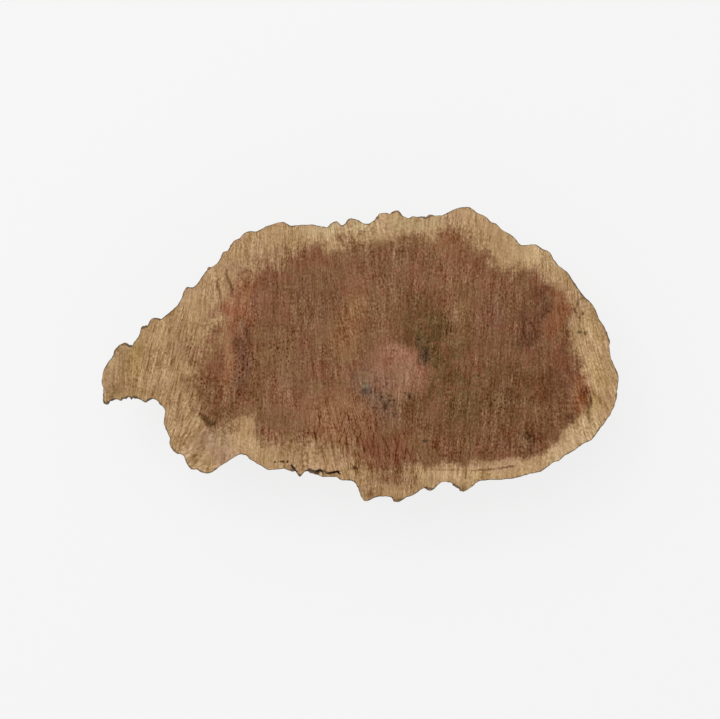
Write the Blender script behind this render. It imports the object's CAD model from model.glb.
"""Looks of a mallee burl cap: one closed body of wood on a pale floor, seen from straight above.

The sawn face shows tan sapwood round brown heartwood, with saw streaks, pin eyes and stains.
The natural back is weathered, with small nubs and points raised over the lobes of the solid.
"""
import math

import bmesh
import bpy
import numpy as np
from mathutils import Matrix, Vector, geometry, noise


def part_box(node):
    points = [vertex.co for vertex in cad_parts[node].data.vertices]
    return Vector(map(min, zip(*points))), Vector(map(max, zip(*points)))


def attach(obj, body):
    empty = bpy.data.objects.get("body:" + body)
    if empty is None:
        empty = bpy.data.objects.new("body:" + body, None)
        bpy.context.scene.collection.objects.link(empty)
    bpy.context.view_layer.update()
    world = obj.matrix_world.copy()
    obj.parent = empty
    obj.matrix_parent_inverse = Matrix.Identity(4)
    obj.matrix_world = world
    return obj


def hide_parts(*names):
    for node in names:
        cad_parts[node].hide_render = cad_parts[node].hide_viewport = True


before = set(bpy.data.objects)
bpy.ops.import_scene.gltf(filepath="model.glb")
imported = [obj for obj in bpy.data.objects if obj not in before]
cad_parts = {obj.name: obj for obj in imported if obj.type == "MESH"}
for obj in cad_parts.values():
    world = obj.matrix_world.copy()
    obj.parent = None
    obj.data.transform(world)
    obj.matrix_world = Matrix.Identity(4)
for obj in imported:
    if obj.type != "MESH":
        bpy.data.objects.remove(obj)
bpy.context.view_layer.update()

LOW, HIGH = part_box("burl_cap")
TOP = HIGH.z
LEVEL = 1e-5              # metres within which a point counts as lying on the sawn face
WELD = 1e-6               # metres within which two points are one
GRID_SEED, NOISE_SEED = 3, 5   # without its seed, Blender's vector noise takes one from the clock

# The photograph: size in pixels, and the box round the sawn face in it
PHOTO_WIDTH, PHOTO_HEIGHT = 720, 719
FACE_LEFT, FACE_RIGHT, FACE_TOP, FACE_BOTTOM = 101.5, 618.6, 207.1, 502.1
METRES_PER_PIXEL = (HIGH.x - LOW.x) / (FACE_RIGHT - FACE_LEFT)
FACE_MIDDLE = ((FACE_LEFT + FACE_RIGHT) / 2, (FACE_TOP + FACE_BOTTOM) / 2)

# Fineness of the mesh
BACK_EDGE = 0.0020        # longest edge on the natural back
REFINE_ROUNDS = 4
FACE_SPACING = 0.0027     # spacing of the points inside the sawn face
FACE_MARGIN = 0.0011      # nearest that such a point comes to the rim
FACET_ROUNDS = 7          # rounds of smoothing that take the solid's facets away

# Fine relief of the back, over the lobes and nubs that the solid has
KNOB_SIZE, KNOB_HEIGHT = 0.0085, 0.0019
BEAD_SIZE, BEAD_HEIGHT = 0.0040, 0.0010
POINT_SIZE, POINT_HEIGHT, POINT_SHARE = 0.0110, 0.0024, 0.45
WRINKLE_SIZE, WRINKLE_HEIGHT = 0.0030, 0.0005
RELIEF_START, RELIEF_FULL = 0.0006, 0.0065   # depth below the sawn face
RIM_ROUGHNESS, RIM_ROUGH_SIZE = 0.00040, 0.0030
HOLLOW_ROUNDS = 28        # rounds of smoothing that the hollows are measured against
HOLLOW_DEPTH = 0.0016
STRAY_SIZE, STRAY_REACH = 0.0060, 0.0012     # noise that keeps the knobs from being round
CELL_REACH, POINT_SHARPNESS = 0.62, 1.6      # a bump's share of its cell, and how fast a point narrows
DOME_LEVEL = 0.6          # taken off each dome, so that the knobs leave the body its size
FORWARD_PULL, BACK_PULL = 0.5, -0.53         # the two pulls of smoothing that doesn't shrink
GRID_JITTER = 0.22        # how far a point of the sawn face strays, in spacings

# Lean of the saw streaks: photograph x, and degrees off upright, positive to the right going up
STREAK_LEAN = [(100, 0), (130, 3), (150, 15), (182, 16), (205, 8), (250, 2), (300, 0), (335, -9),
               (362, -6), (400, 2), (440, 6), (480, 6), (520, 3), (560, -5), (590, -13), (616, -18)]

# Edge of the heartwood, clockwise in the photograph's pixels
HEART_EDGE = [(214, 318), (222, 298), (240, 276), (262, 262), (282, 258), (300, 247), (318, 241),
              (330, 248), (342, 241), (362, 240), (385, 237), (400, 236), (420, 238), (438, 236),
              (446, 227), (456, 224), (466, 231), (471, 241), (479, 247), (490, 258), (501, 268),
              (512, 272), (520, 266), (530, 268), (540, 275), (548, 284), (557, 285), (564, 291),
              (566, 300), (574, 308), (568, 322), (570, 340), (574, 352), (581, 359), (584, 370),
              (588, 384), (593, 395), (589, 404), (582, 415), (577, 421), (567, 428), (560, 438),
              (552, 448), (545, 453), (535, 457), (524, 459), (510, 459), (500, 461), (485, 462),
              (471, 465), (463, 469), (456, 463), (440, 463), (430, 466), (420, 465), (413, 471),
              (404, 480), (376, 480), (364, 468), (350, 456), (330, 448), (310, 444), (296, 442),
              (284, 446), (270, 441), (259, 441), (254, 416), (241, 420), (226, 430), (211, 428),
              (200, 418), (196, 400), (190, 385), (194, 362), (200, 346), (212, 338)]
# Width of the change from sapwood to heartwood: photograph place and width in pixels
EDGE_WIDTHS = [((190, 380), 24), ((230, 285), 22), ((300, 250), 15), ((380, 238), 16), ((455, 226), 12),
               ((520, 268), 10), ((567, 300), 6), ((580, 350), 8), ((592, 395), 6), ((565, 430), 5),
               ((520, 460), 4), ((460, 466), 6), ((395, 486), 22), ((350, 456), 24), ((300, 447), 24),
               ((270, 442), 18), ((255, 425), 6), ((215, 430), 14)]
WIDTH_REACH, WIDTH_FALL = 0.004, -3          # how such a width gives way to the next one
# Raggedness of the painted patches: size, reach and seed of each noise
PATCH_STRAYS = [(0.015, 0.0055, 1.0), (0.005, 0.0022, 2.0)]
# Bake map: margin, height where the face starts, height of the back, and how far the back is drawn in
MAP_MARGIN, FACE_BASE, BACK_HEIGHT, BACK_SPREAD = 0.01, 0.42, 0.39, 0.52
TAIL_PIXEL, NOSE_PIXEL = (150, 372), (520, 355)
SAWN_SLOT, BACK_SLOT = 0, 1


def place(x, y, z=0.0):
    """Plan place in metres of a pixel of the photograph."""
    return Vector(((x - FACE_MIDDLE[0]) * METRES_PER_PIXEL, (FACE_MIDDLE[1] - y) * METRES_PER_PIXEL, z))


def plan_points(pixels):
    return np.array([place(x, y)[:2] for x, y in pixels])


def smoothstep(value, low, high):
    share = np.clip((value - low) / (high - low), 0.0, 1.0)
    return share * share * (3 - 2 * share)


# The body of wood

def opened_solid():
    """Points and triangles of the solid, welded, with its flat sawn face taken off."""
    body = bmesh.new()
    body.from_mesh(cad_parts["burl_cap"].data)
    bmesh.ops.remove_doubles(body, verts=body.verts, dist=WELD)
    flat = [f for f in body.faces if all(abs(v.co.z - TOP) < LEVEL for v in f.verts)]
    bmesh.ops.delete(body, geom=flat, context="FACES")
    body.verts.index_update()
    points = [v.co.copy() for v in body.verts]
    triangles = [tuple(v.index for v in f.verts) for f in body.faces]
    body.free()
    return points, triangles


def split_triangle(points, corners, cuts):
    """The triangles that one falls into; cuts has the middle of each edge, or None where it stays whole."""
    count = 3 - cuts.count(None)
    if count == 0:
        return [corners]
    if count == 3:
        (a, b, c), (ab, bc, ca) = corners, cuts
        return [(a, ab, ca), (ab, b, bc), (ca, bc, c), (ab, bc, ca)]
    while cuts[0] is None or (count == 2 and cuts[1] is None):
        corners = corners[1:] + corners[:1]
        cuts = cuts[1:] + cuts[:1]
    (a, b, c), (ab, bc, _) = corners, cuts
    if count == 1:
        return [(a, ab, c), (ab, b, c)]
    if (points[a] - points[bc]).length < (points[c] - points[ab]).length:
        return [(ab, b, bc), (a, ab, bc), (a, bc, c)]
    return [(ab, b, bc), (a, ab, c), (ab, bc, c)]


def refined(points, triangles, longest, rounds):
    """Triangles with every edge that is too long cut at its middle, a few times over; adds the points."""
    for _ in range(rounds):
        middles = {}
        pieces = []
        for corners in triangles:
            cuts = []
            for a, b in zip(corners, corners[1:] + corners[:1]):
                pair = (min(a, b), max(a, b))
                if pair not in middles:
                    middles[pair] = None
                    if (points[a] - points[b]).length > longest:
                        middles[pair] = len(points)
                        points.append((points[a] + points[b]) / 2)
                cuts.append(middles[pair])
            pieces += split_triangle(points, corners, tuple(cuts))
        triangles = pieces
    return triangles


def body_of(points, triangles):
    body = bmesh.new()
    vertices = [body.verts.new(point) for point in points]
    for corners in triangles:
        body.faces.new([vertices[corner] for corner in corners])
    return body


def neighbour_mean(points, edges, count):
    """For each point, the mean of the points that it shares an edge with."""
    ends, others = np.concatenate([edges[:, 0], edges[:, 1]]), np.concatenate([edges[:, 1], edges[:, 0]])
    total = np.column_stack([np.bincount(ends, points[others, axis], len(points)) for axis in range(3)])
    return total / count[:, None]


def smoothed(points, edges, free, rounds):
    """Points eased towards their neighbours without shrinking the body; free is 0 where they stay."""
    count = np.bincount(edges.ravel(), minlength=len(points)).astype(float)
    for turn in range(2 * rounds):
        pull = FORWARD_PULL if turn % 2 == 0 else BACK_PULL
        points = points + (neighbour_mean(points, edges, count) - points) * (pull * free)[:, None]
    return points


def eased(points, edges, rounds):
    """Points pulled to the mean of their neighbours again and again, for a general level."""
    count = np.bincount(edges.ravel(), minlength=len(points)).astype(float)
    for _ in range(rounds):
        points = neighbour_mean(points, edges, count)
    return points


def point_normals(points, triangles):
    corners = points[triangles]
    facets = np.cross(corners[:, 1] - corners[:, 0], corners[:, 2] - corners[:, 0])
    normals = np.column_stack([
        sum(np.bincount(triangles[:, turn], facets[:, axis], len(points)) for turn in range(3))
        for axis in range(3)])
    return normals / np.maximum(np.linalg.norm(normals, axis=1), 1e-12)[:, None]


def domes(points, size, sharp, share=1.0):
    """Bumps packed in cells of about size: 0 between them, 1 on top; sharp ones are pointed."""
    heights = np.zeros(len(points))
    for number, point in enumerate(points):
        distances, centres = noise.voronoi(Vector(point) / size)
        if share < 1 and noise.cell(centres[0] * 7.3) > share:
            continue
        away = min(distances[0] / CELL_REACH, 1.0)
        heights[number] = (1 - away) ** POINT_SHARPNESS if sharp else math.sqrt(1 - away * away)
    return heights


def fine_relief(points):
    """Height of the small knobs, beads, points and wrinkles of the natural back, in metres."""
    stray = np.array([noise.noise_vector(Vector(p) / STRAY_SIZE) for p in points]) * STRAY_REACH
    strayed = points + stray
    wrinkles = np.array([noise.fractal(Vector(p) / WRINKLE_SIZE, 0.8, 2.0, 3) for p in strayed])
    height = KNOB_HEIGHT * (domes(strayed, KNOB_SIZE, False) - DOME_LEVEL)
    height += BEAD_HEIGHT * (domes(strayed + 0.5, BEAD_SIZE, False) - DOME_LEVEL)
    height += POINT_HEIGHT * domes(points + 0.9, POINT_SIZE, True, POINT_SHARE)
    return height + WRINKLE_HEIGHT * wrinkles


def rim_loops(body):
    """Rows of vertices round the openings that the sawn face has to fill, longest first."""
    open_edges = dict.fromkeys(edge for edge in body.edges if edge.is_boundary)
    loops = []
    while open_edges:
        edge = open_edges.popitem()[0]
        row = [edge.verts[0], edge.verts[1]]
        while True:
            onward = [e for e in row[-1].link_edges if e in open_edges]
            if not onward:
                break
            del open_edges[onward[0]]
            row.append(onward[0].other_vert(row[-1]))
        loops.append(row[:-1] if row[-1] is row[0] else row)
    return sorted(loops, key=len, reverse=True)


def inside(points, outline):
    """Which plan points lie inside a closed outline."""
    found = np.zeros(len(points), dtype=bool)
    for (ax, ay), (bx, by) in zip(outline, np.roll(outline, -1, axis=0)):
        crosses = (ay > points[:, 1]) != (by > points[:, 1])
        with np.errstate(divide="ignore", invalid="ignore"):
            at = ax + (points[:, 1] - ay) * (bx - ax) / (by - ay)
        found ^= crosses & (points[:, 0] < at)
    return found


def outline_distance(points, outline):
    """Distance from each plan point to the nearest stretch of a closed outline."""
    nearest = np.full(len(points), np.inf)
    for start, end in zip(outline, np.roll(outline, -1, axis=0)):
        along = end - start
        share = np.clip(((points - start) @ along) / max(along @ along, 1e-18), 0, 1)
        nearest = np.minimum(nearest, np.linalg.norm(points - start - share[:, None] * along, axis=1))
    return nearest


def field_points(outlines, rng):
    """Scattered points inside the sawn face, clear of its rim and its slots."""
    rows = np.arange(LOW.y, HIGH.y, FACE_SPACING * math.sqrt(0.75))
    columns = np.arange(LOW.x, HIGH.x, FACE_SPACING)
    grid = np.array([(x + (n % 2) * FACE_SPACING / 2, y) for n, y in enumerate(rows) for x in columns])
    grid += rng.uniform(-GRID_JITTER, GRID_JITTER, grid.shape) * FACE_SPACING
    kept = inside(grid, outlines[0])
    for outline in outlines:
        kept &= outline_distance(grid, outline) > FACE_MARGIN
    for hole in outlines[1:]:
        kept &= ~inside(grid, hole)
    return grid[kept]


def fill_sawn_face(body, rng):
    """Close the body with the flat face, in even triangles; returns its new faces."""
    loops = rim_loops(body)
    outlines = [np.array([v.co[:2] for v in loop]) for loop in loops]
    field = field_points(outlines, rng)
    vertices = [v for loop in loops for v in loop]
    vertices += [body.verts.new((x, y, TOP)) for x, y in field]
    edges, start = [], 0
    for loop in loops:
        edges += [(start + i, start + (i + 1) % len(loop)) for i in range(len(loop))]
        start += len(loop)
    plan = [Vector(v.co[:2]) for v in vertices]
    found = geometry.delaunay_2d_cdt(plan, edges, [], 1, WELD)
    origins = [source[0] for source in found[3]]
    triangles = np.array([[origins[corner] for corner in face] for face in found[2]])
    flat = np.array([tuple(p) for p in plan])
    middles = flat[triangles].mean(axis=1)
    kept = inside(middles, outlines[0])
    for hole in outlines[1:]:
        kept &= ~inside(middles, hole)
    return [body.faces.new([vertices[i] for i in triangle]) for triangle in triangles[kept]]


def roughen_rim(points, on_rim):
    """Small raggedness of the rim, in the plane of the sawn face."""
    for number in np.flatnonzero(on_rim):
        shift = noise.noise_vector(Vector(points[number]) / RIM_ROUGH_SIZE)
        points[number, :2] += np.array(shift[:2]) * RIM_ROUGHNESS
    return points


def arrays_of(body):
    body.verts.ensure_lookup_table()
    body.verts.index_update()
    points = np.array([v.co for v in body.verts])
    edges = np.array([[v.index for v in edge.verts] for edge in body.edges])
    triangles = np.array([[v.index for v in face.verts] for face in body.faces])
    return points, edges, triangles


def shape_back(body):
    """Round the solid's facets off and raise the fine relief; returns how deep each hollow is."""
    points, edges, triangles = arrays_of(body)
    on_rim = np.array([v.is_boundary for v in body.verts])
    free = np.where(on_rim, 0.0, 1.0)
    points = smoothed(points, edges, free, FACET_ROUNDS)
    points = roughen_rim(points, on_rim)
    normals = point_normals(points, triangles)
    depth = TOP - points[:, 2]
    strength = smoothstep(depth, RELIEF_START, RELIEF_FULL) * free
    points = points + normals * (fine_relief(points) * strength)[:, None]
    points[:, 2] = np.maximum(points[:, 2], LOW.z)
    level = eased(points, edges, HOLLOW_ROUNDS)
    sunk = ((level - points) * point_normals(points, triangles)).sum(axis=1)
    for vertex, point in zip(body.verts, points):
        vertex.co = point
    return sunk


def lean_field(points):
    """Across and along coordinates of the saw streaks at each plan point, in metres."""
    at = np.array([place(x, 0)[0] for x, _ in STREAK_LEAN])
    slopes = np.tan(np.radians([lean for _, lean in STREAK_LEAN]))
    slope = np.interp(points[:, 0], at, slopes)
    return points[:, 0] - slope * points[:, 1], points[:, 1]


def heart_share(points):
    """How far inside the heartwood each plan point lies, in widths of the change of colour."""
    edge = plan_points(HEART_EDGE)
    gap = outline_distance(points, edge) * np.where(inside(points, edge), 1, -1)
    spots = plan_points([spot for spot, _ in EDGE_WIDTHS])
    widths = np.array([width for _, width in EDGE_WIDTHS]) * METRES_PER_PIXEL
    away = np.linalg.norm(points[:, None, :] - spots[None, :, :], axis=2) + WIDTH_REACH
    pull = away ** WIDTH_FALL
    return gap / ((pull * widths).sum(axis=1) / pull.sum(axis=1))


def strayed(points, size, reach, seed):
    """Plan points moved about by noise, so that what is painted there has ragged edges."""
    shifts = [noise.noise_vector(Vector((x / size, y / size, seed))) for x, y in points]
    return points + reach * np.array(shifts)[:, :2]


def paint(points, ground, patches):
    """Colour of each plan point: the ground colour with soft oval patches laid over it in turn."""
    ragged = points
    for size, reach, seed in PATCH_STRAYS:
        ragged = strayed(ragged, size, reach, seed)
    colours = np.tile(np.array(ground), (len(points), 1))
    for middle, radii, turn, softness, strength, colour in patches:
        away = (ragged - np.array(place(*middle)[:2])) / METRES_PER_PIXEL
        wide = away @ (math.cos(math.radians(turn)), math.sin(math.radians(turn)))
        tall = away @ (-math.sin(math.radians(turn)), math.cos(math.radians(turn)))
        reach = np.hypot(wide / radii[0], tall / radii[1])
        mask = strength * (1 - smoothstep(reach, 1 - softness, 1 + softness))
        colours += mask[:, None] * (np.array(tone(*colour)) - colours)
    return colours


def store(mesh, name, numbers, values):
    """Keep a number or a colour for each of the numbered vertices, under a name that materials read."""
    kept = np.zeros((len(mesh.vertices), *values.shape[1:]), dtype=np.float32)
    kept[numbers] = values
    if values.ndim == 1:
        mesh.attributes.new(name, "FLOAT", "POINT").data.foreach_set("value", kept)
    else:
        mesh.attributes.new(name, "FLOAT_COLOR", "POINT").data.foreach_set("color", kept.ravel())


def store_bake_map(mesh, face_slot):
    """Lay the sawn face over the upper part of one square map, and the back over the rest."""
    points = np.array([v.co for v in mesh.vertices])
    span = HIGH.x - LOW.x
    tail, nose = plan_points([TAIL_PIXEL, NOSE_PIXEL])
    line = nose - tail
    share = np.clip(((points[:, :2] - tail) @ line) / (line @ line), 0, 1)
    crest = tail + share[:, None] * line
    spread = BACK_SPREAD + (1 - BACK_SPREAD) * np.clip(points[:, 2] / TOP, 0, 1)
    back = crest + (points[:, :2] - crest) * spread[:, None]
    layer = mesh.uv_layers.new(name="OFBake")
    places = np.zeros((len(mesh.loops), 2))
    corner = np.array([loop.vertex_index for loop in mesh.loops])
    slots = np.repeat([p.material_index for p in mesh.polygons], [p.loop_total for p in mesh.polygons])
    flat = (points[corner, :2] - np.array(LOW[:2])) / span
    turned = (back[corner] - np.array(LOW[:2])) / np.array([span, HIGH.y - LOW.y])
    on_face = slots == face_slot
    wide = 1 - 2 * MAP_MARGIN
    places[on_face] = MAP_MARGIN + wide * flat[on_face] + np.array([0, FACE_BASE])
    places[~on_face] = MAP_MARGIN + np.array([wide, BACK_HEIGHT]) * turned[~on_face]
    layer.data.foreach_set("uv", places.astype(np.float32).ravel())


def make_burl(sawn, weathered):
    """The dressed body: natural back, sawn face and what the materials need to know of each point."""
    rng = np.random.default_rng(GRID_SEED)
    points, triangles = opened_solid()
    triangles = refined(points, triangles, BACK_EDGE, REFINE_ROUNDS)
    body = body_of(points, triangles)
    sunk = shape_back(body)
    back_count = len(body.verts)
    rim = np.array([v.co[:2] for v in rim_loops(body)[0]])
    face = fill_sawn_face(body, rng)
    for triangle in body.faces:
        triangle.material_index = BACK_SLOT
        triangle.smooth = True
    for triangle in face:
        triangle.material_index = SAWN_SLOT
        triangle.smooth = False
    bmesh.ops.recalc_face_normals(body, faces=body.faces)
    mesh = bpy.data.meshes.new("burl_body")
    body.to_mesh(mesh)
    body.free()
    for material in (sawn, weathered):
        mesh.materials.append(material)
    every = np.arange(len(mesh.vertices))
    points = np.array([v.co for v in mesh.vertices])
    on_face = every[points[:, 2] > TOP - LEVEL]
    plan = points[on_face, :2]
    across, along = lean_field(plan)
    store(mesh, "streak_across", on_face, across)
    store(mesh, "streak_along", on_face, along)
    store(mesh, "heart_share", on_face, heart_share(plan))
    store(mesh, "rim_gap", on_face, outline_distance(plan, rim))
    store(mesh, "sapwood", on_face, paint(plan, SAPWOOD, SAP_PATCHES))
    store(mesh, "heartwood", on_face, paint(plan, HEARTWOOD, HEART_PATCHES))
    store(mesh, "hollow", every[:back_count], sunk / HOLLOW_DEPTH)
    store_bake_map(mesh, SAWN_SLOT)
    piece = bpy.data.objects.new("burl_body", mesh)
    bpy.context.scene.collection.objects.link(piece)
    return piece


# Nodes

SCREEN_GAMMA, DARKEST = 2.2, 0.015
BLACK = (0, 0, 0, 1)


def node(tree, kind, inputs=(), **settings):
    """A new node with its settings, each named input either joined to a socket or given a value."""
    made = tree.nodes.new(kind)
    for name, value in settings.items():
        setattr(made, name, value)
    for name, value in dict(inputs).items():
        socket = made.inputs[name]
        if isinstance(value, bpy.types.NodeSocket):
            tree.links.new(value, socket)
        else:
            socket.default_value = value
    return made


def maths(tree, operation, *values):
    return node(tree, "ShaderNodeMath", dict(enumerate(values)), operation=operation).outputs[0]


def vectors(tree, operation, *values):
    made = node(tree, "ShaderNodeVectorMath", dict(enumerate(values)), operation=operation)
    return made.outputs["Value" if operation == "LENGTH" else 0]


def rotated(tree, spot, angle):
    made = node(tree, "ShaderNodeVectorRotate", {"Vector": spot, "Angle": angle}, rotation_type="Z_AXIS")
    return made.outputs[0]


def mixed(tree, share, first, second):
    """Colour between first and second by share."""
    return node(tree, "ShaderNodeMix", {"Factor": share, 6: first, 7: second}, data_type="RGBA").outputs[2]


def ranged(tree, value, low, high, to_low=0.0, to_high=1.0, smooth=True):
    """Value moved from one range to another and held inside it."""
    kind = "SMOOTHSTEP" if smooth else "LINEAR"
    inputs = {"Value": value, "From Min": low, "From Max": high, "To Min": to_low, "To Max": to_high}
    return node(tree, "ShaderNodeMapRange", inputs, interpolation_type=kind).outputs[0]


def stored(tree, name, output="Fac"):
    return node(tree, "ShaderNodeAttribute", attribute_name=name).outputs[output]


def here(tree):
    return node(tree, "ShaderNodeTexCoord").outputs["Object"]


def tone(red, green, blue):
    """Colour of a screen value of 0 to 255, as light."""
    levels = [value / 255 for value in (red, green, blue)]
    return (*[v / 12.92 if v <= 0.04045 else ((v + 0.055) / 1.055) ** 2.4 for v in levels], 1.0)


def new_group(name, inputs, outputs):
    """An empty node group with named sockets, and its input and output nodes."""
    tree = bpy.data.node_groups.new(name, "ShaderNodeTree")
    for label, kind, value in inputs:
        socket = tree.interface.new_socket(name=label, in_out="INPUT", socket_type="NodeSocket" + kind)
        if kind != "Vector":
            socket.default_value = value
    for label, kind in outputs:
        tree.interface.new_socket(name=label, in_out="OUTPUT", socket_type="NodeSocket" + kind)
    return tree, tree.nodes.new("NodeGroupInput").outputs, tree.nodes.new("NodeGroupOutput").inputs


def placed(tree, group, output, **inputs):
    """An output of a group placed in a tree; an input's name has a _ for each space."""
    values = {name.replace("_", " "): value for name, value in inputs.items()}
    return node(tree, "ShaderNodeGroup", values, node_tree=group).outputs[output]


GRAIN_INPUTS = [("Across", "Float", 0.0), ("Along", "Float", 0.0), ("Width", "Float", 0.001),
                ("Length", "Float", 0.02), ("Seed", "Float", 0.0)]


def long_grain_group():
    """Noise drawn out along the grain, from across and along places in metres."""
    inputs = [*GRAIN_INPUTS, ("Waver", "Float", 0.0)]
    tree, given, out = new_group("long_grain", inputs, [("Value", "Float")])
    spot = node(tree, "ShaderNodeCombineXYZ", {"X": given["Across"], "Y": given["Along"],
                                               "Z": given["Seed"]})
    sway = node(tree, "ShaderNodeTexNoise", {"Vector": spot.outputs[0], "Scale": 90.0, "Detail": 1.0})
    bend = maths(tree, "MULTIPLY", maths(tree, "SUBTRACT", sway.outputs["Fac"], 0.5), given["Waver"])
    across = maths(tree, "DIVIDE", maths(tree, "ADD", given["Across"], bend), given["Width"])
    along = maths(tree, "DIVIDE", given["Along"], given["Length"])
    drawn = node(tree, "ShaderNodeCombineXYZ", {"X": across, "Y": along, "Z": given["Seed"]})
    grain = node(tree, "ShaderNodeTexNoise", {"Vector": drawn.outputs[0], "Scale": 1.0, "Detail": 2.0})
    tree.links.new(grain.outputs["Fac"], out["Value"])
    return tree


def turned_grain_group(long_grain):
    """Long grain at its own lean, in degrees off upright."""
    inputs = [("Place", "Vector", None), ("Lean", "Float", 0.0), *GRAIN_INPUTS[2:]]
    tree, given, out = new_group("turned_grain", inputs, [("Value", "Float")])
    turn = rotated(tree, given["Place"], maths(tree, "RADIANS", given["Lean"]))
    split = node(tree, "ShaderNodeSeparateXYZ", {"Vector": turn}).outputs
    grain = placed(tree, long_grain, "Value", Across=split["X"], Along=split["Y"], Width=given["Width"],
                   Length=given["Length"], Seed=given["Seed"])
    tree.links.new(grain, out["Value"])
    return tree


def grain_shade_group(long_grain):
    """Streaks along the grain as a shade: below zero where they are dark and above it where light."""
    inputs = [*GRAIN_INPUTS, ("Waver", "Float", 0.0), ("Amount", "Float", 0.1)]
    tree, given, out = new_group("grain_shade", inputs, [("Shade", "Float")])
    grain = placed(tree, long_grain, "Value", Across=given["Across"], Along=given["Along"],
                   Width=given["Width"], Length=given["Length"], Seed=given["Seed"], Waver=given["Waver"])
    level = maths(tree, "SUBTRACT", ranged(tree, grain, 0.30, 0.70), 0.5)
    tree.links.new(maths(tree, "MULTIPLY", level, given["Amount"]), out["Shade"])
    return tree


def shaded_group():
    """Colour made lighter or darker by one amount in red, green and blue, on a scale like the screen's."""
    inputs = [("Colour", "Color", (1, 1, 1, 1)), ("Shade", "Float", 0.0)]
    tree, given, out = new_group("shaded", inputs, [("Colour", "Color")])
    seen = node(tree, "ShaderNodeGamma", {"Color": given["Colour"], "Gamma": 1 / SCREEN_GAMMA})
    moved = vectors(tree, "ADD", seen.outputs[0], given["Shade"])
    held = vectors(tree, "MAXIMUM", moved, (DARKEST,) * 3)
    back = node(tree, "ShaderNodeGamma", {"Color": held, "Gamma": SCREEN_GAMMA})
    tree.links.new(back.outputs[0], out["Colour"])
    return tree


def soft_patch_group():
    """An oval patch with a soft edge: 1 in its middle and 0 outside it."""
    inputs = [("Place", "Vector", None), ("Centre", "Vector", None), ("Radii", "Vector", None),
              ("Turn", "Float", 0.0), ("Softness", "Float", 0.5)]
    tree, given, out = new_group("soft_patch", inputs, [("Mask", "Float")])
    offset = vectors(tree, "SUBTRACT", given["Place"], given["Centre"])
    turn = rotated(tree, offset, maths(tree, "RADIANS", maths(tree, "MULTIPLY", given["Turn"], -1.0)))
    flat = vectors(tree, "MULTIPLY", vectors(tree, "DIVIDE", turn, given["Radii"]), (1, 1, 0))
    near = maths(tree, "SUBTRACT", 1.0, given["Softness"])
    far = maths(tree, "ADD", 1.0, given["Softness"])
    tree.links.new(ranged(tree, vectors(tree, "LENGTH", flat), near, far, 1.0, 0.0), out["Mask"])
    return tree


def specks_group():
    """Small round spots scattered one to a cell, in a share of the cells."""
    inputs = [("Place", "Vector", None), ("Spacing", "Float", 0.003), ("Size", "Float", 0.3),
              ("Share", "Float", 0.5)]
    tree, given, out = new_group("specks", inputs, [("Mask", "Float")])
    scale = maths(tree, "DIVIDE", 1.0, given["Spacing"])
    cells = node(tree, "ShaderNodeTexVoronoi", {"Vector": given["Place"], "Scale": scale})
    pick = node(tree, "ShaderNodeSeparateColor", {"Color": cells.outputs["Color"]}).outputs["Red"]
    chosen = maths(tree, "LESS_THAN", pick, given["Share"])
    spot = ranged(tree, cells.outputs["Distance"], maths(tree, "MULTIPLY", given["Size"], 0.5),
                  given["Size"], 1.0, 0.0)
    tree.links.new(maths(tree, "MULTIPLY", spot, chosen), out["Mask"])
    return tree


def mottle_group():
    """Cloudy variation at two sizes, from 0 to 1."""
    inputs = [("Place", "Vector", None), ("Size", "Float", 0.01), ("Fine Share", "Float", 0.4)]
    tree, given, out = new_group("mottle", inputs, [("Value", "Float")])
    scale = maths(tree, "DIVIDE", 1.0, given["Size"])
    broad = node(tree, "ShaderNodeTexNoise", {"Vector": given["Place"], "Scale": scale, "Detail": 2.0})
    fine = node(tree, "ShaderNodeTexNoise", {"Vector": given["Place"], "Detail": 2.0,
                                             "Scale": maths(tree, "MULTIPLY", scale, 5.0)})
    both = node(tree, "ShaderNodeMix", {"Factor": given["Fine Share"], 2: broad.outputs["Fac"],
                                        3: fine.outputs["Fac"]}, data_type="FLOAT")
    tree.links.new(ranged(tree, both.outputs[0], 0.3, 0.7), out["Value"])
    return tree


# Sawn wood: colours in screen values, patches in the photograph's pixels

SAPWOOD, SAPWOOD_GOLD, SAPWOOD_ROSE = tone(182, 149, 110), tone(190, 158, 112), tone(184, 146, 117)
HEARTWOOD, HEARTWOOD_OCHRE, HEARTWOOD_ROSE = tone(129, 91, 63), tone(124, 95, 56), tone(140, 90, 66)
EDGE_LINE = tone(76, 66, 50)
CLOUD_SHADE, DASH_SHADE, FAN_SHADE, PIN_SHADE = 0.065, -0.15, -0.12, -0.12
SAPWOOD_LEVEL, HEARTWOOD_LEVEL = -0.030, -0.006     # shade of the whole, under the streaks

# Each layer of grain: width and length in metres, seed, waver, strength in sapwood and in heartwood
GRAIN_LAYERS = [
    (0.0012, 0.0110, 1.0, 0.0014, 0.115, 0.080),
    (0.0010, 0.0019, 4.0, 0.0, 0.120, 0.125),
    (0.0034, 0.0480, 2.0, 0.0030, 0.075, 0.065),
]

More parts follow.
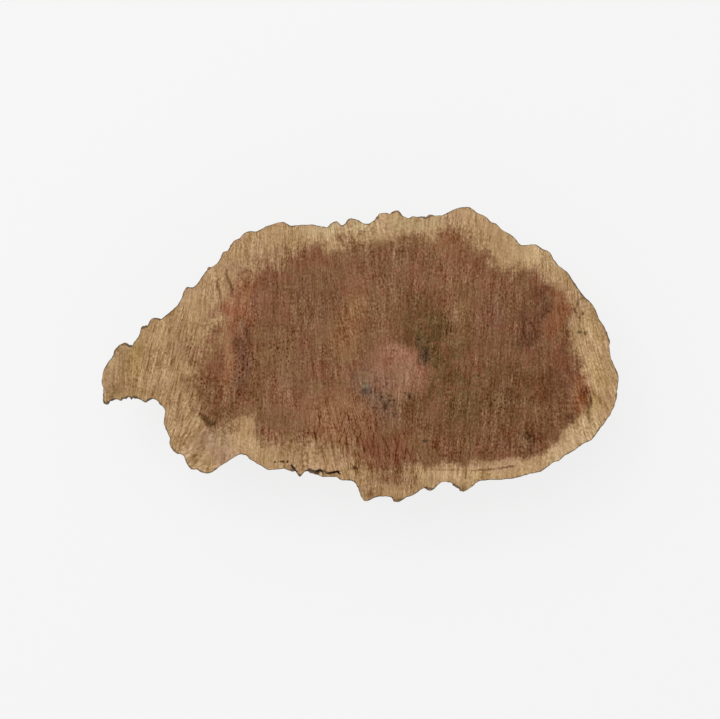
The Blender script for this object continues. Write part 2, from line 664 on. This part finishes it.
# Each patch: middle, radii, turn in degrees, softness, strength and colour
SAP_PATCHES = [
    ((136, 368), (5, 34), 4, 0.6, 0.75, (168, 139, 84)),
    ((118, 372), (10, 26), -10, 0.7, 0.65, (145, 117, 80)),
    ((112, 394), (8, 8), 0, 0.7, 0.6, (128, 99, 58)),
    ((130, 388), (14, 8), 0, 0.7, 0.65, (148, 114, 76)),
    ((160, 372), (24, 36), 0, 0.7, 0.55, (162, 127, 92)),
    ((176, 410), (7, 14), 0, 0.7, 0.6, (153, 121, 85)),
    ((190, 330), (12, 10), 0, 0.7, 0.6, (156, 122, 84)),
    ((206, 310), (8, 10), 0, 0.7, 0.6, (160, 126, 89)),
    ((190, 446), (10, 12), 0, 0.7, 0.7, (144, 114, 78)),
    ((200, 461), (9, 5), 0, 0.7, 0.6, (164, 135, 98)),
    ((216, 445), (20, 14), -25, 0.6, 0.65, (162, 132, 110)),
    ((222, 438), (8, 10), 0, 0.8, 0.5, (152, 119, 90)),
    ((186, 350), (8, 12), 0, 0.8, 0.5, (140, 108, 78)),
    ((205, 285), (30, 22), -40, 0.8, 0.45, (188, 153, 118)),
    ((236, 268), (16, 10), -20, 0.7, 0.6, (176, 138, 110)),
    ((348, 228), (44, 11), 3, 0.7, 0.85, (204, 179, 138)),
    ((428, 221), (30, 10), 0, 0.7, 0.7, (196, 172, 132)),
    ((470, 215), (22, 9), 0, 0.7, 0.7, (200, 165, 125)),
    ((535, 250), (26, 11), -32, 0.7, 0.75, (204, 175, 132)),
    ((594, 372), (14, 55), 8, 0.6, 0.65, (202, 168, 122)),
    ((604, 400), (8, 30), 12, 0.6, 0.4, (186, 149, 103)),
    ((597, 420), (9, 13), 20, 0.7, 0.6, (206, 175, 132)),
    ((585, 318), (12, 26), -30, 0.6, 0.4, (178, 150, 110)),
    ((572, 440), (30, 9), 38, 0.6, 0.8, (210, 180, 140)),
    ((500, 470), (55, 7), 4, 0.6, 0.5, (190, 157, 106)),
    ((440, 475), (26, 9), 0, 0.6, 0.65, (200, 169, 126)),
    ((390, 494), (30, 8), 0, 0.7, 0.45, (176, 140, 102)),
    ((410, 487), (10, 7), 0, 0.7, 0.6, (186, 152, 114)),
    ((332, 463), (22, 8), 0, 0.7, 0.75, (202, 164, 128)),
    ((245, 430), (9, 13), -15, 0.4, 0.8, (188, 152, 112)),
    ((478, 466), (58, 4.0), 3, 0.5, 0.75, (196, 158, 124)),
    ((573, 321), (5, 9.5), -5, 0.4, 0.8, (188, 152, 120)),
    ((570.5, 284), (3, 6), 20, 0.6, 0.7, (170, 134, 68)),
]
HEART_PATCHES = [
    ((236, 305), (17, 30), -8, 0.7, 0.8, (150, 99, 70)),
    ((252, 284), (12, 10), 0, 0.6, 0.7, (138, 86, 62)),
    ((234, 312), (8, 11), 0, 0.5, 0.8, (152, 96, 70)),
    ((256, 304), (7, 10), 0, 0.6, 0.6, (140, 98, 78)),
    ((246, 298), (3.5, 9), 0, 0.7, 0.6, (162, 118, 76)),
    ((207, 362), (10, 28), 0, 0.7, 0.65, (131, 87, 60)),
    ((226, 366), (7, 30), -4, 0.6, 0.8, (166, 118, 86)),
    ((242, 366), (8, 28), -3, 0.6, 0.8, (104, 70, 54)),
    ((215, 405), (18, 16), 0, 0.8, 0.6, (118, 86, 56)),
    ((290, 285), (34, 22), 10, 0.9, 0.35, (133, 98, 70)),
    ((270, 300), (12, 38), 2, 0.8, 0.35, (120, 84, 60)),
    ((316, 300), (22, 26), -10, 0.8, 0.5, (112, 78, 56)),
    ((350, 322), (14, 34), -14, 0.7, 0.6, (160, 120, 82)),
    ((300, 372), (24, 34), 0, 0.9, 0.4, (134, 97, 72)),
    ((268, 412), (24, 16), 0, 0.8, 0.5, (136, 100, 70)),
    ((325, 240), (20, 10), -10, 0.8, 0.5, (144, 98, 72)),
    ((360, 268), (20, 30), -8, 0.8, 0.45, (138, 99, 74)),
    ((396, 270), (26, 26), 0, 0.9, 0.35, (130, 96, 73)),
    ((452, 240), (16, 20), -5, 0.6, 0.75, (144, 98, 70)),
    ((462, 300), (8, 44), -6, 0.7, 0.6, (133, 98, 65)),
    ((424, 332), (20, 26), 8, 0.6, 0.85, (84, 64, 36)),
    ((446, 378), (34, 42), 0, 0.8, 0.85, (95, 72, 40)),
    ((497, 318), (16, 22), -8, 0.8, 0.55, (130, 93, 75)),
    ((476, 412), (34, 24), 0, 0.8, 0.6, (106, 77, 47)),
    ((398, 370), (28, 27), -8, 0.28, 0.9, (154, 112, 88)),
    ((404, 352), (20, 8), -20, 0.6, 0.6, (168, 120, 96)),
    ((421, 378), (5, 22), 6, 0.5, 0.6, (160, 110, 88)),
    ((374, 388), (15, 17), 0, 0.8, 0.6, (138, 110, 92)),
    ((386, 408), (17, 14), 0, 0.8, 0.6, (132, 103, 84)),
    ((536, 318), (14, 40), -14, 0.6, 0.85, (94, 60, 41)),
    ((560, 306), (10, 34), -12, 0.5, 0.85, (146, 96, 66)),
    ((557, 292), (6, 5), 0, 0.6, 0.6, (134, 82, 54)),
    ((514, 380), (24, 34), 0, 0.8, 0.7, (106, 74, 48)),
    ((560, 372), (18, 30), -4, 0.7, 0.75, (107, 68, 46)),
    ((583, 395), (9, 24), -4, 0.6, 0.7, (148, 92, 58)),
    ((538, 438), (34, 16), 14, 0.7, 0.7, (100, 64, 38)),
    ((500, 446), (30, 10), 4, 0.7, 0.4, (122, 83, 62)),
    ((452, 452), (26, 11), 0, 0.7, 0.6, (114, 75, 50)),
    ((404, 458), (18, 24), -10, 0.8, 0.65, (134, 89, 66)),
    ((372, 455), (14, 34), 0, 0.8, 0.65, (136, 87, 62)),
    ((335, 424), (28, 26), 8, 0.8, 0.8, (160, 115, 84)),
]
# Dark knots, lines and stains: middle, radii, turn, softness, strength and colour
STAINS = [
    ((205, 418), (6, 3), -35, 0.6, 0.85, (84, 56, 26)),
    ((211, 423.5), (5, 3.2), 12, 0.6, 0.85, (80, 53, 25)),
    ((367, 385.5), (3.5, 2.2), 0, 0.8, 0.5, (124, 120, 106)),
    ((364.5, 391.5), (3.4, 3.6), 10, 0.8, 0.85, (68, 57, 48)),
    ((371, 390.5), (1.2, 3.6), 5, 0.6, 0.65, (76, 64, 54)),
    ((375, 391), (1.0, 3.2), 0, 0.6, 0.55, (86, 74, 62)),
    ((377, 380.5), (4, 1.0), -12, 0.6, 0.5, (96, 68, 52)),
    ((380.5, 398), (1.1, 3.6), -18, 0.6, 0.65, (74, 60, 44)),
    ((385, 406), (2.2, 4.2), -8, 0.8, 0.8, (62, 46, 28)),
    ((389, 402), (6, 6), 0, 0.9, 0.4, (90, 74, 54)),
    ((409, 396.5), (1.6, 3.4), 8, 0.6, 0.9, (58, 46, 20)),
    ((404.5, 393), (2, 1.0), -15, 0.6, 0.7, (76, 62, 40)),
    ((352.5, 377), (1.3, 14), 12, 0.6, 0.55, (98, 70, 50)),
    ((363.5, 373), (1.1, 12), -8, 0.6, 0.45, (104, 74, 54)),
    ((424, 357), (5, 9), -12, 0.8, 0.65, (72, 56, 43)),
    ((418, 342), (3, 6), -8, 0.7, 0.5, (80, 62, 42)),
    ((528.5, 436), (5, 5.4), 0, 0.6, 0.75, (74, 44, 18)),
    ((525, 440), (2.2, 2.2), 0, 0.5, 0.4, (128, 84, 52)),
    ((425, 441), (4, 1.4), 0, 0.5, 0.8, (62, 44, 28)),
    ((584, 392), (4, 4.5), -20, 0.7, 0.7, (92, 46, 20)),
    ((590, 398), (1.8, 8), 12, 0.6, 0.6, (94, 58, 34)),
    ((589, 412), (1.4, 11), 8, 0.6, 0.6, (106, 70, 44)),
    ((570, 417), (5, 3.5), 0, 0.6, 0.55, (80, 48, 32)),
    ((577.5, 304), (1.4, 5), -10, 0.6, 0.7, (104, 80, 54)),
    ((576, 312), (1.2, 5), 15, 0.6, 0.6, (116, 86, 60)),
    ((567.5, 320), (1.1, 9), -8, 0.6, 0.55, (118, 82, 62)),
    ((579, 328), (1.1, 7), -6, 0.6, 0.5, (130, 98, 70)),
    ((580, 332), (2.6, 1.6), 0, 0.6, 0.75, (92, 66, 40)),
    ((585.5, 333), (1.8, 2.4), 0, 0.6, 0.8, (88, 62, 38)),
    ((583.5, 313.5), (1.4, 1.4), 0, 0.5, 0.8, (78, 60, 42)),
    ((579.5, 317.5), (1.2, 1.2), 0, 0.5, 0.7, (96, 74, 50)),
    ((582, 298.5), (3.6, 1.2), 22, 0.6, 0.6, (112, 90, 62)),
    ((575.5, 285), (1.5, 14), 35, 0.6, 0.7, (112, 102, 86)),
    ((562, 267), (1.3, 9), 44, 0.6, 0.6, (118, 106, 90)),
    ((497, 468.6), (17, 1.1), 6, 0.6, 0.65, (126, 90, 60)),
    ((477, 470.2), (7, 0.9), 2, 0.6, 0.7, (126, 88, 58)),
    ((509, 466.6), (6, 1.0), 10, 0.6, 0.8, (108, 74, 46)),
    ((446, 470), (17, 0.9), -1, 0.8, 0.5, (138, 98, 70)),
    ((492, 459.6), (9, 0.9), 3, 0.7, 0.5, (110, 70, 46)),
    ((466, 475), (1.4, 6), 0, 0.7, 0.4, (128, 92, 60)),
    ((457.5, 471), (1.2, 5), 0, 0.7, 0.5, (128, 92, 60)),
    ((431.5, 476), (1.4, 8), 0, 0.7, 0.5, (134, 100, 66)),
    ((354.3, 467.7), (2.6, 2), 0, 0.6, 0.8, (88, 56, 28)),
    ((275, 462), (1.4, 1.2), 0, 0.5, 0.8, (64, 44, 20)),
    ((282.5, 461.7), (2.6, 1.1), 0, 0.5, 0.8, (64, 44, 20)),
    ((287.5, 461.5), (1.3, 1.1), 0, 0.5, 0.8, (66, 46, 22)),
    ((313, 471.5), (4.5, 1.4), -30, 0.5, 0.85, (52, 34, 10)),
    ((320, 471.5), (4.5, 1.3), 25, 0.5, 0.8, (72, 46, 14)),
    ((327, 472.5), (4.5, 1.2), -20, 0.5, 0.8, (62, 42, 14)),
    ((336, 472), (5, 1.2), 10, 0.5, 0.85, (52, 36, 12)),
    ((256.5, 428), (1.2, 13), 3, 0.6, 0.6, (112, 82, 52)),
    ((226.3, 273), (1.4, 6), 5, 0.6, 0.75, (118, 90, 58)),
    ((229.8, 283), (1.6, 7), 21, 0.6, 0.85, (106, 78, 48)),
    ((231.9, 292), (1.3, 5), 0, 0.6, 0.75, (112, 80, 50)),
    ((218.8, 290), (1.4, 8), 13, 0.6, 0.75, (122, 92, 60)),
    ((245, 331), (2.2, 13), 20, 0.6, 0.7, (98, 70, 50)),
    ((277, 285), (1.0, 30), 3, 0.7, 0.5, (92, 62, 42)),
    ((273, 300), (0.9, 24), 4, 0.7, 0.4, (98, 66, 44)),
    ((340, 300), (2, 16), 16, 0.7, 0.4, (86, 58, 40)),
    ((476, 219), (1.1, 8), -4, 0.6, 0.6, (120, 88, 58)),
    ((369, 494), (3.4, 3), 0, 0.7, 0.55, (112, 84, 54)),
    ((399, 500), (4, 2.4), 0, 0.6, 0.6, (98, 72, 48)),
    ((463, 488), (3, 4), 0, 0.7, 0.5, (112, 80, 50)),
]
# Dark dots of the one large eye
EYE_DOTS = [(208, 325), (212, 323.5), (215.5, 326.5), (210.5, 329), (214, 331), (208.5, 332.5),
            (217, 332), (205, 328.5)]
STAINS += [(dot, (1.3, 1.3), 0, 0.6, 0.7, (112, 80, 50)) for dot in EYE_DOTS]
# Where pin eyes cluster, where fans of streaks cross, and where dashes are strong
PIN_CLUSTERS = [((190, 343), (9, 9)), ((212, 386), (22, 14)), ((238, 372), (20, 26)), ((250, 280), (14, 16)),
                ((290, 350), (24, 30)), ((500, 405), (18, 10)), ((383, 400), (22, 18))]
FANS = [(17.0, 11.0, ((345, 448), (36, 42))), (-15.0, 12.0, ((345, 448), (36, 42))),
        (-22.0, 13.0, ((398, 462), (34, 38))), (12.0, 14.0, ((392, 462), (30, 34)))]
DASHES = [((168, 350), (30, 42)), ((190, 400), (16, 34)), ((340, 440), (46, 36)), ((600, 380), (16, 60))]

# Clouds: size in metres and share of fine ones
SAWN_CLOUD, SAWN_BLUSH, STREAK_CLOUD = (0.010, 0.45), (0.014, 0.4), (0.018, 0.3)
HEART_CLOUD, RIM_CLOUD = (0.007, 0.45), (0.009, 0.5)
# Grain: width and length in metres, seed and waver
HEART_GRAIN, DASH_GRAIN = (0.0015, 0.011, 8.0, 0.001), (0.0013, 0.0120, 5.0, 0.0010)
SAWN_GRIT = (0.0009, 0.0045, 9.0, 0.0)
FAN_WIDTH, FAN_LENGTH = 0.0014, 0.0170
PIN_SPACING, PIN_SIZE, PIN_SHARE = 0.0024, 0.42, 0.8
# Size and reach in metres of the noise that moves blushes, stains and marks about
BLUSH_STRAY, STAIN_STRAY, MARK_STRAY = (0.006, 0.010), (0.0025, 0.0022), (0.012, 0.012)
HEART_CLOUD_REACH, HEART_GRAIN_REACH = 1.1, 1.2     # how far each strays the heartwood's edge, in widths
GOLD_STRENGTH, ROSE_STRENGTH, RIM_STRENGTH = 0.35, 0.45, 0.8


def oval(tree, patch, spot, middle, radii, softness, turn=0.0):
    """Mask of one oval given by middle and radii in the photograph's pixels."""
    reach = (radii[0] * METRES_PER_PIXEL, radii[1] * METRES_PER_PIXEL, 1.0)
    return placed(tree, patch, "Mask", Place=spot, Centre=place(*middle), Radii=reach,
                  Turn=float(turn), Softness=softness)


def masks_of(tree, patch, spot, ovals, softness):
    """One mask for several ovals."""
    total = 0.0
    for middle, radii in ovals:
        total = maths(tree, "MAXIMUM", total, oval(tree, patch, spot, middle, radii, softness))
    return total


def stained(tree, patch, spot, colour, stains):
    """Colour with each small stain laid over it in turn."""
    for middle, radii, turn, softness, strength, stain in stains:
        mask = oval(tree, patch, spot, middle, radii, softness, turn)
        colour = mixed(tree, maths(tree, "MULTIPLY", mask, strength), colour, tone(*stain))
    return colour


def ragged_place(tree, spot, stray):
    """The place moved about by noise of one size and reach, so that what is drawn there is ragged."""
    size, reach = stray
    found = node(tree, "ShaderNodeTexNoise", {"Vector": spot, "Scale": 1 / size, "Detail": 3.0})
    centred = vectors(tree, "SUBTRACT", found.outputs["Color"], (0.5, 0.5, 0.5))
    return vectors(tree, "MULTIPLY_ADD", centred, (reach,) * 3, spot)


def clouds(tree, groups, spot, shape):
    size, fine_share = shape
    return placed(tree, groups["mottle"], "Value", Place=spot, Size=size, Fine_Share=fine_share)


def drawn_grain(tree, groups, across, along, shape):
    width, length, seed, waver = shape
    return placed(tree, groups["long_grain"], "Value", Across=across, Along=along, Width=width,
                  Length=length, Seed=seed, Waver=waver)


def material_tree(name):
    material = bpy.data.materials.new(name)
    material.use_nodes = True
    return material, material.node_tree, material.node_tree.nodes["Principled BSDF"]


def sawn_wood(groups):
    """Sapwood and heartwood as the saw left them, with streaks, pin eyes and stains."""
    material, tree, shader = material_tree("sawn_wood")
    spot = here(tree)
    across, along = stored(tree, "streak_across"), stored(tree, "streak_along")
    cloud = clouds(tree, groups, spot, SAWN_CLOUD)
    blush = clouds(tree, groups, ragged_place(tree, spot, BLUSH_STRAY), SAWN_BLUSH)
    sapwood = blended(tree, stored(tree, "sapwood", "Color"), cloud, blush, SAPWOOD_GOLD, SAPWOOD_ROSE)
    heartwood = blended(tree, stored(tree, "heartwood", "Color"), cloud, blush, HEARTWOOD_OCHRE,
                        HEARTWOOD_ROSE)
    heart = heart_mask(tree, groups, spot, across, along)
    both = mixed(tree, heart, sapwood, heartwood)
    colour = stained(tree, groups["soft_patch"], ragged_place(tree, spot, STAIN_STRAY), both, STAINS)
    shade = streaked(tree, groups, heart, cloud, spot, across, along)
    shade = marked(tree, groups, shade, spot, across, along)
    colour = placed(tree, groups["shaded"], "Colour", Colour=colour, Shade=shade)
    tree.links.new(rim_line(tree, groups, colour, spot), shader.inputs["Base Color"])
    grit = drawn_grain(tree, groups, across, along, SAWN_GRIT)
    tree.links.new(ranged(tree, grit, 0.3, 0.7, 0.80, 0.62), shader.inputs["Roughness"])
    bump = node(tree, "ShaderNodeBump", {"Height": grit, "Strength": 0.5, "Distance": 0.0006})
    tree.links.new(bump.outputs["Normal"], shader.inputs["Normal"])
    shader.inputs["Specular IOR Level"].default_value = 0.06
    return material


def streaked(tree, groups, heart, cloud, spot, across, along):
    """Shade of the wood with its layers of grain, stronger in some clouds than in others."""
    strength = ranged(tree, clouds(tree, groups, spot, STREAK_CLOUD), 0.1, 0.9, 0.6, 1.35)
    level = ranged(tree, heart, 0.0, 1.0, SAPWOOD_LEVEL, HEARTWOOD_LEVEL, smooth=False)
    shade = maths(tree, "MULTIPLY_ADD", maths(tree, "SUBTRACT", cloud, 0.5), CLOUD_SHADE, level)
    for width, length, seed, waver, in_sapwood, in_heartwood in GRAIN_LAYERS:
        amount = ranged(tree, heart, 0.0, 1.0, in_sapwood, in_heartwood, smooth=False)
        streaks = placed(tree, groups["grain_shade"], "Shade", Across=across, Along=along, Width=width,
                         Length=length, Seed=seed, Waver=waver,
                         Amount=maths(tree, "MULTIPLY", amount, strength))
        shade = maths(tree, "ADD", shade, streaks)
    return shade


def blended(tree, colour, cloud, blush, golden, rosy):
    """Colour with golden and rosy clouds in it."""
    colour = mixed(tree, maths(tree, "MULTIPLY", ranged(tree, cloud, 0.45, 0.85), GOLD_STRENGTH), colour,
                   golden)
    return mixed(tree, maths(tree, "MULTIPLY", ranged(tree, blush, 0.45, 0.85), ROSE_STRENGTH), colour,
                 rosy)


def heart_mask(tree, groups, spot, across, along):
    """1 in the heartwood and 0 in the sapwood, with a ragged, streaky change between them."""
    cloud = clouds(tree, groups, spot, HEART_CLOUD)
    streak = drawn_grain(tree, groups, across, along, HEART_GRAIN)
    share = stored(tree, "heart_share")
    for level, reach in ((cloud, HEART_CLOUD_REACH), (streak, HEART_GRAIN_REACH)):
        share = maths(tree, "MULTIPLY_ADD", maths(tree, "SUBTRACT", level, 0.5), reach, share)
    return ranged(tree, share, -0.75, 0.75)


def marked(tree, groups, shade, spot, across, along):
    """Shade made darker by dashes along the grain, fans of crossing saw marks and pin eyes."""
    patch, soft_spot = groups["soft_patch"], ragged_place(tree, spot, MARK_STRAY)
    dash = drawn_grain(tree, groups, across, along, DASH_GRAIN)
    where = maths(tree, "MULTIPLY_ADD", masks_of(tree, patch, soft_spot, DASHES, 0.6), 0.7, 0.3)
    dash = maths(tree, "MULTIPLY", ranged(tree, dash, 0.57, 0.67), where)
    fans = 0.0
    for lean, seed, area in FANS:
        fan = placed(tree, groups["turned_grain"], "Value", Place=spot, Lean=lean, Width=FAN_WIDTH,
                     Length=FAN_LENGTH, Seed=seed)
        where = masks_of(tree, patch, soft_spot, [area], 0.7)
        fans = maths(tree, "MAXIMUM", fans, maths(tree, "MULTIPLY", ranged(tree, fan, 0.54, 0.66), where))
    pins = placed(tree, groups["specks"], "Mask", Place=spot, Spacing=PIN_SPACING, Size=PIN_SIZE,
                  Share=PIN_SHARE)
    where = maths(tree, "MULTIPLY_ADD", masks_of(tree, patch, soft_spot, PIN_CLUSTERS, 0.7), 0.8, 0.2)
    pins = maths(tree, "MULTIPLY", pins, where)
    for mask, amount in ((dash, DASH_SHADE), (fans, FAN_SHADE), (pins, PIN_SHADE)):
        shade = maths(tree, "MULTIPLY_ADD", mask, amount, shade)
    return shade


def rim_line(tree, groups, colour, spot):
    """The thin weathered line along the rim, wider at some places than at others."""
    reach = maths(tree, "MULTIPLY_ADD", clouds(tree, groups, spot, RIM_CLOUD), 0.0013, 0.0001)
    line = ranged(tree, maths(tree, "DIVIDE", stored(tree, "rim_gap"), reach), 0.35, 1.0, 1.0, 0.0)
    return mixed(tree, maths(tree, "MULTIPLY", line, RIM_STRENGTH), colour, EDGE_LINE)


# Weathered back

BACK_HOLLOW, BACK_MIDDLE, BACK_TIP = tone(44, 33, 26), tone(112, 86, 66), tone(164, 130, 98)
BACK_RED, BACK_GREY = tone(116, 74, 52), tone(124, 111, 94)
BACK_CLOUD, BACK_BLUSH, BACK_GRIT = (0.030, 0.4), (0.045, 0.3), (0.0022, 0.5)
BACK_FIBRE, BACK_STRAY = (0.0009, 0.010, 21.0, 0.003), (0.02, 0.03)
PIT_SPACING, PIT_SIZE, PIT_SHARE = 0.0028, 0.3, 0.4
GREY_STRENGTH, TIP_STRENGTH, CREASE_STRENGTH, FIBRE_STRENGTH, PIT_STRENGTH = 0.7, 0.75, 0.9, 0.35, 0.5


def weathered_wood(groups):
    """The natural surface under the bark: grey-brown, dark in its hollows and rubbed on its tips."""
    material, tree, shader = material_tree("weathered_wood")
    spot = here(tree)
    split = node(tree, "ShaderNodeSeparateXYZ", {"Vector": spot}).outputs
    round_about = maths(tree, "ADD", split["X"], split["Y"])
    hollow = stored(tree, "hollow")
    cloud = clouds(tree, groups, spot, BACK_CLOUD)
    blush = clouds(tree, groups, ragged_place(tree, spot, BACK_STRAY), BACK_BLUSH)
    fibre = drawn_grain(tree, groups, round_about, split["Z"], BACK_FIBRE)
    grit = clouds(tree, groups, spot, BACK_GRIT)
    pits = placed(tree, groups["specks"], "Mask", Place=spot, Spacing=PIT_SPACING, Size=PIT_SIZE,
                  Share=PIT_SHARE)
    grey = ranged(tree, cloud, 0.45, 0.8)
    tips = ranged(tree, maths(tree, "MULTIPLY_ADD", grit, -0.5, hollow), -0.35, -1.5)
    creases = ranged(tree, maths(tree, "MULTIPLY_ADD", grit, 0.5, hollow), 0.1, 1.3)
    colour = mixed(tree, ranged(tree, blush, 0.35, 0.75), BACK_MIDDLE, BACK_RED)
    for mask, strength, over in ((grey, GREY_STRENGTH, BACK_GREY), (tips, TIP_STRENGTH, BACK_TIP),
                                 (creases, CREASE_STRENGTH, BACK_HOLLOW),
                                 (ranged(tree, fibre, 0.5, 0.7), FIBRE_STRENGTH, BLACK),
                                 (pits, PIT_STRENGTH, BLACK)):
        colour = mixed(tree, maths(tree, "MULTIPLY", mask, strength), colour, over)
    tree.links.new(colour, shader.inputs["Base Color"])
    tree.links.new(ranged(tree, grit, 0.0, 1.0, 0.7, 0.9), shader.inputs["Roughness"])
    sunk = maths(tree, "MULTIPLY_ADD", ranged(tree, fibre, 0.45, 0.7), 0.6, pits)
    relief = maths(tree, "SUBTRACT", maths(tree, "MULTIPLY", grit, 0.8), sunk)
    bump = node(tree, "ShaderNodeBump", {"Height": relief, "Strength": 0.6, "Distance": 0.0005})
    tree.links.new(bump.outputs["Normal"], shader.inputs["Normal"])
    shader.inputs["Specular IOR Level"].default_value = 0.3
    return material


def shader_groups():
    long_grain = long_grain_group()
    return {"long_grain": long_grain, "turned_grain": turned_grain_group(long_grain),
            "grain_shade": grain_shade_group(long_grain), "shaded": shaded_group(),
            "soft_patch": soft_patch_group(), "specks": specks_group(), "mottle": mottle_group()}


# Stage: floor, light and camera

FLOOR_TONE, FLOOR_BASE = tone(245, 245, 245), tone(96, 96, 96)
FLOOR_SIZE, FLOOR_GLOW = 60.0, 0.88
FAR_TONE = tone(240, 240, 240)            # the floor far away, which the world behind it matches
CONTACT_REACH, CONTACT_GLOW = 0.022, 0.3  # how near the wood shades the floor under it, and how much
CAMERA_LENS, SENSOR = 85.0, 36.0
LAMP_SIZE, LAMP_PLACE, LAMP_POWER = 1.6, (-0.7, 0.9, 1.9), 24.0
SKY_LIGHT = 0.62


def make_floor():
    """A pale floor that glows a little, so that its shadows stay faint but right under the wood."""
    bpy.ops.mesh.primitive_plane_add(size=FLOOR_SIZE)
    floor = bpy.context.object
    floor.name = "pale_floor"
    material, tree, shader = material_tree("pale_floor")
    shader.inputs["Base Color"].default_value = FLOOR_BASE
    shader.inputs["Roughness"].default_value = 1.0
    shader.inputs["Specular IOR Level"].default_value = 0.0
    shader.inputs["Emission Color"].default_value = FLOOR_TONE
    near = node(tree, "ShaderNodeAmbientOcclusion", {"Distance": CONTACT_REACH}).outputs["AO"]
    glow = ranged(tree, near, 0.0, 1.0, FLOOR_GLOW * CONTACT_GLOW, FLOOR_GLOW, smooth=False)
    tree.links.new(glow, shader.inputs["Emission Strength"])
    floor.data.materials.append(material)


def make_lights():
    """Even light from all round, seen as pale as the far floor, and one large soft lamp up to the left."""
    world = bpy.data.worlds.new("studio")
    world.use_nodes = True
    tree = world.node_tree
    seen = node(tree, "ShaderNodeLightPath").outputs["Is Camera Ray"]
    light = mixed(tree, seen, (SKY_LIGHT, SKY_LIGHT, SKY_LIGHT, 1), FAR_TONE)
    tree.links.new(light, tree.nodes["Background"].inputs["Color"])
    bpy.context.scene.world = world
    lamp = bpy.data.lights.new("soft_lamp", "AREA")
    lamp.size = LAMP_SIZE
    lamp.energy = LAMP_POWER
    holder = bpy.data.objects.new("soft_lamp", lamp)
    holder.location = LAMP_PLACE
    holder.rotation_euler = (Vector((0, 0, TOP)) - holder.location).to_track_quat("-Z", "Y").to_euler()
    bpy.context.scene.collection.objects.link(holder)


def make_camera():
    """Straight above the sawn face, which fills the photograph's own share of the frame."""
    camera = bpy.data.cameras.new("camera")
    camera.lens, camera.sensor_width = CAMERA_LENS, SENSOR
    width = PHOTO_WIDTH * METRES_PER_PIXEL
    spot = place(PHOTO_WIDTH / 2, PHOTO_HEIGHT / 2)
    holder = bpy.data.objects.new("camera", camera)
    holder.location = (spot.x, spot.y, TOP + width * CAMERA_LENS / SENSOR)
    bpy.context.scene.collection.objects.link(holder)
    bpy.context.scene.camera = holder


bpy.context.scene.view_settings.view_transform = "Standard"
groups = shader_groups()
noise.seed_set(NOISE_SEED)
burl = make_burl(sawn_wood(groups), weathered_wood(groups))
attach(burl, "root")
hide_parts("burl_cap")
make_floor()
make_lights()
make_camera()
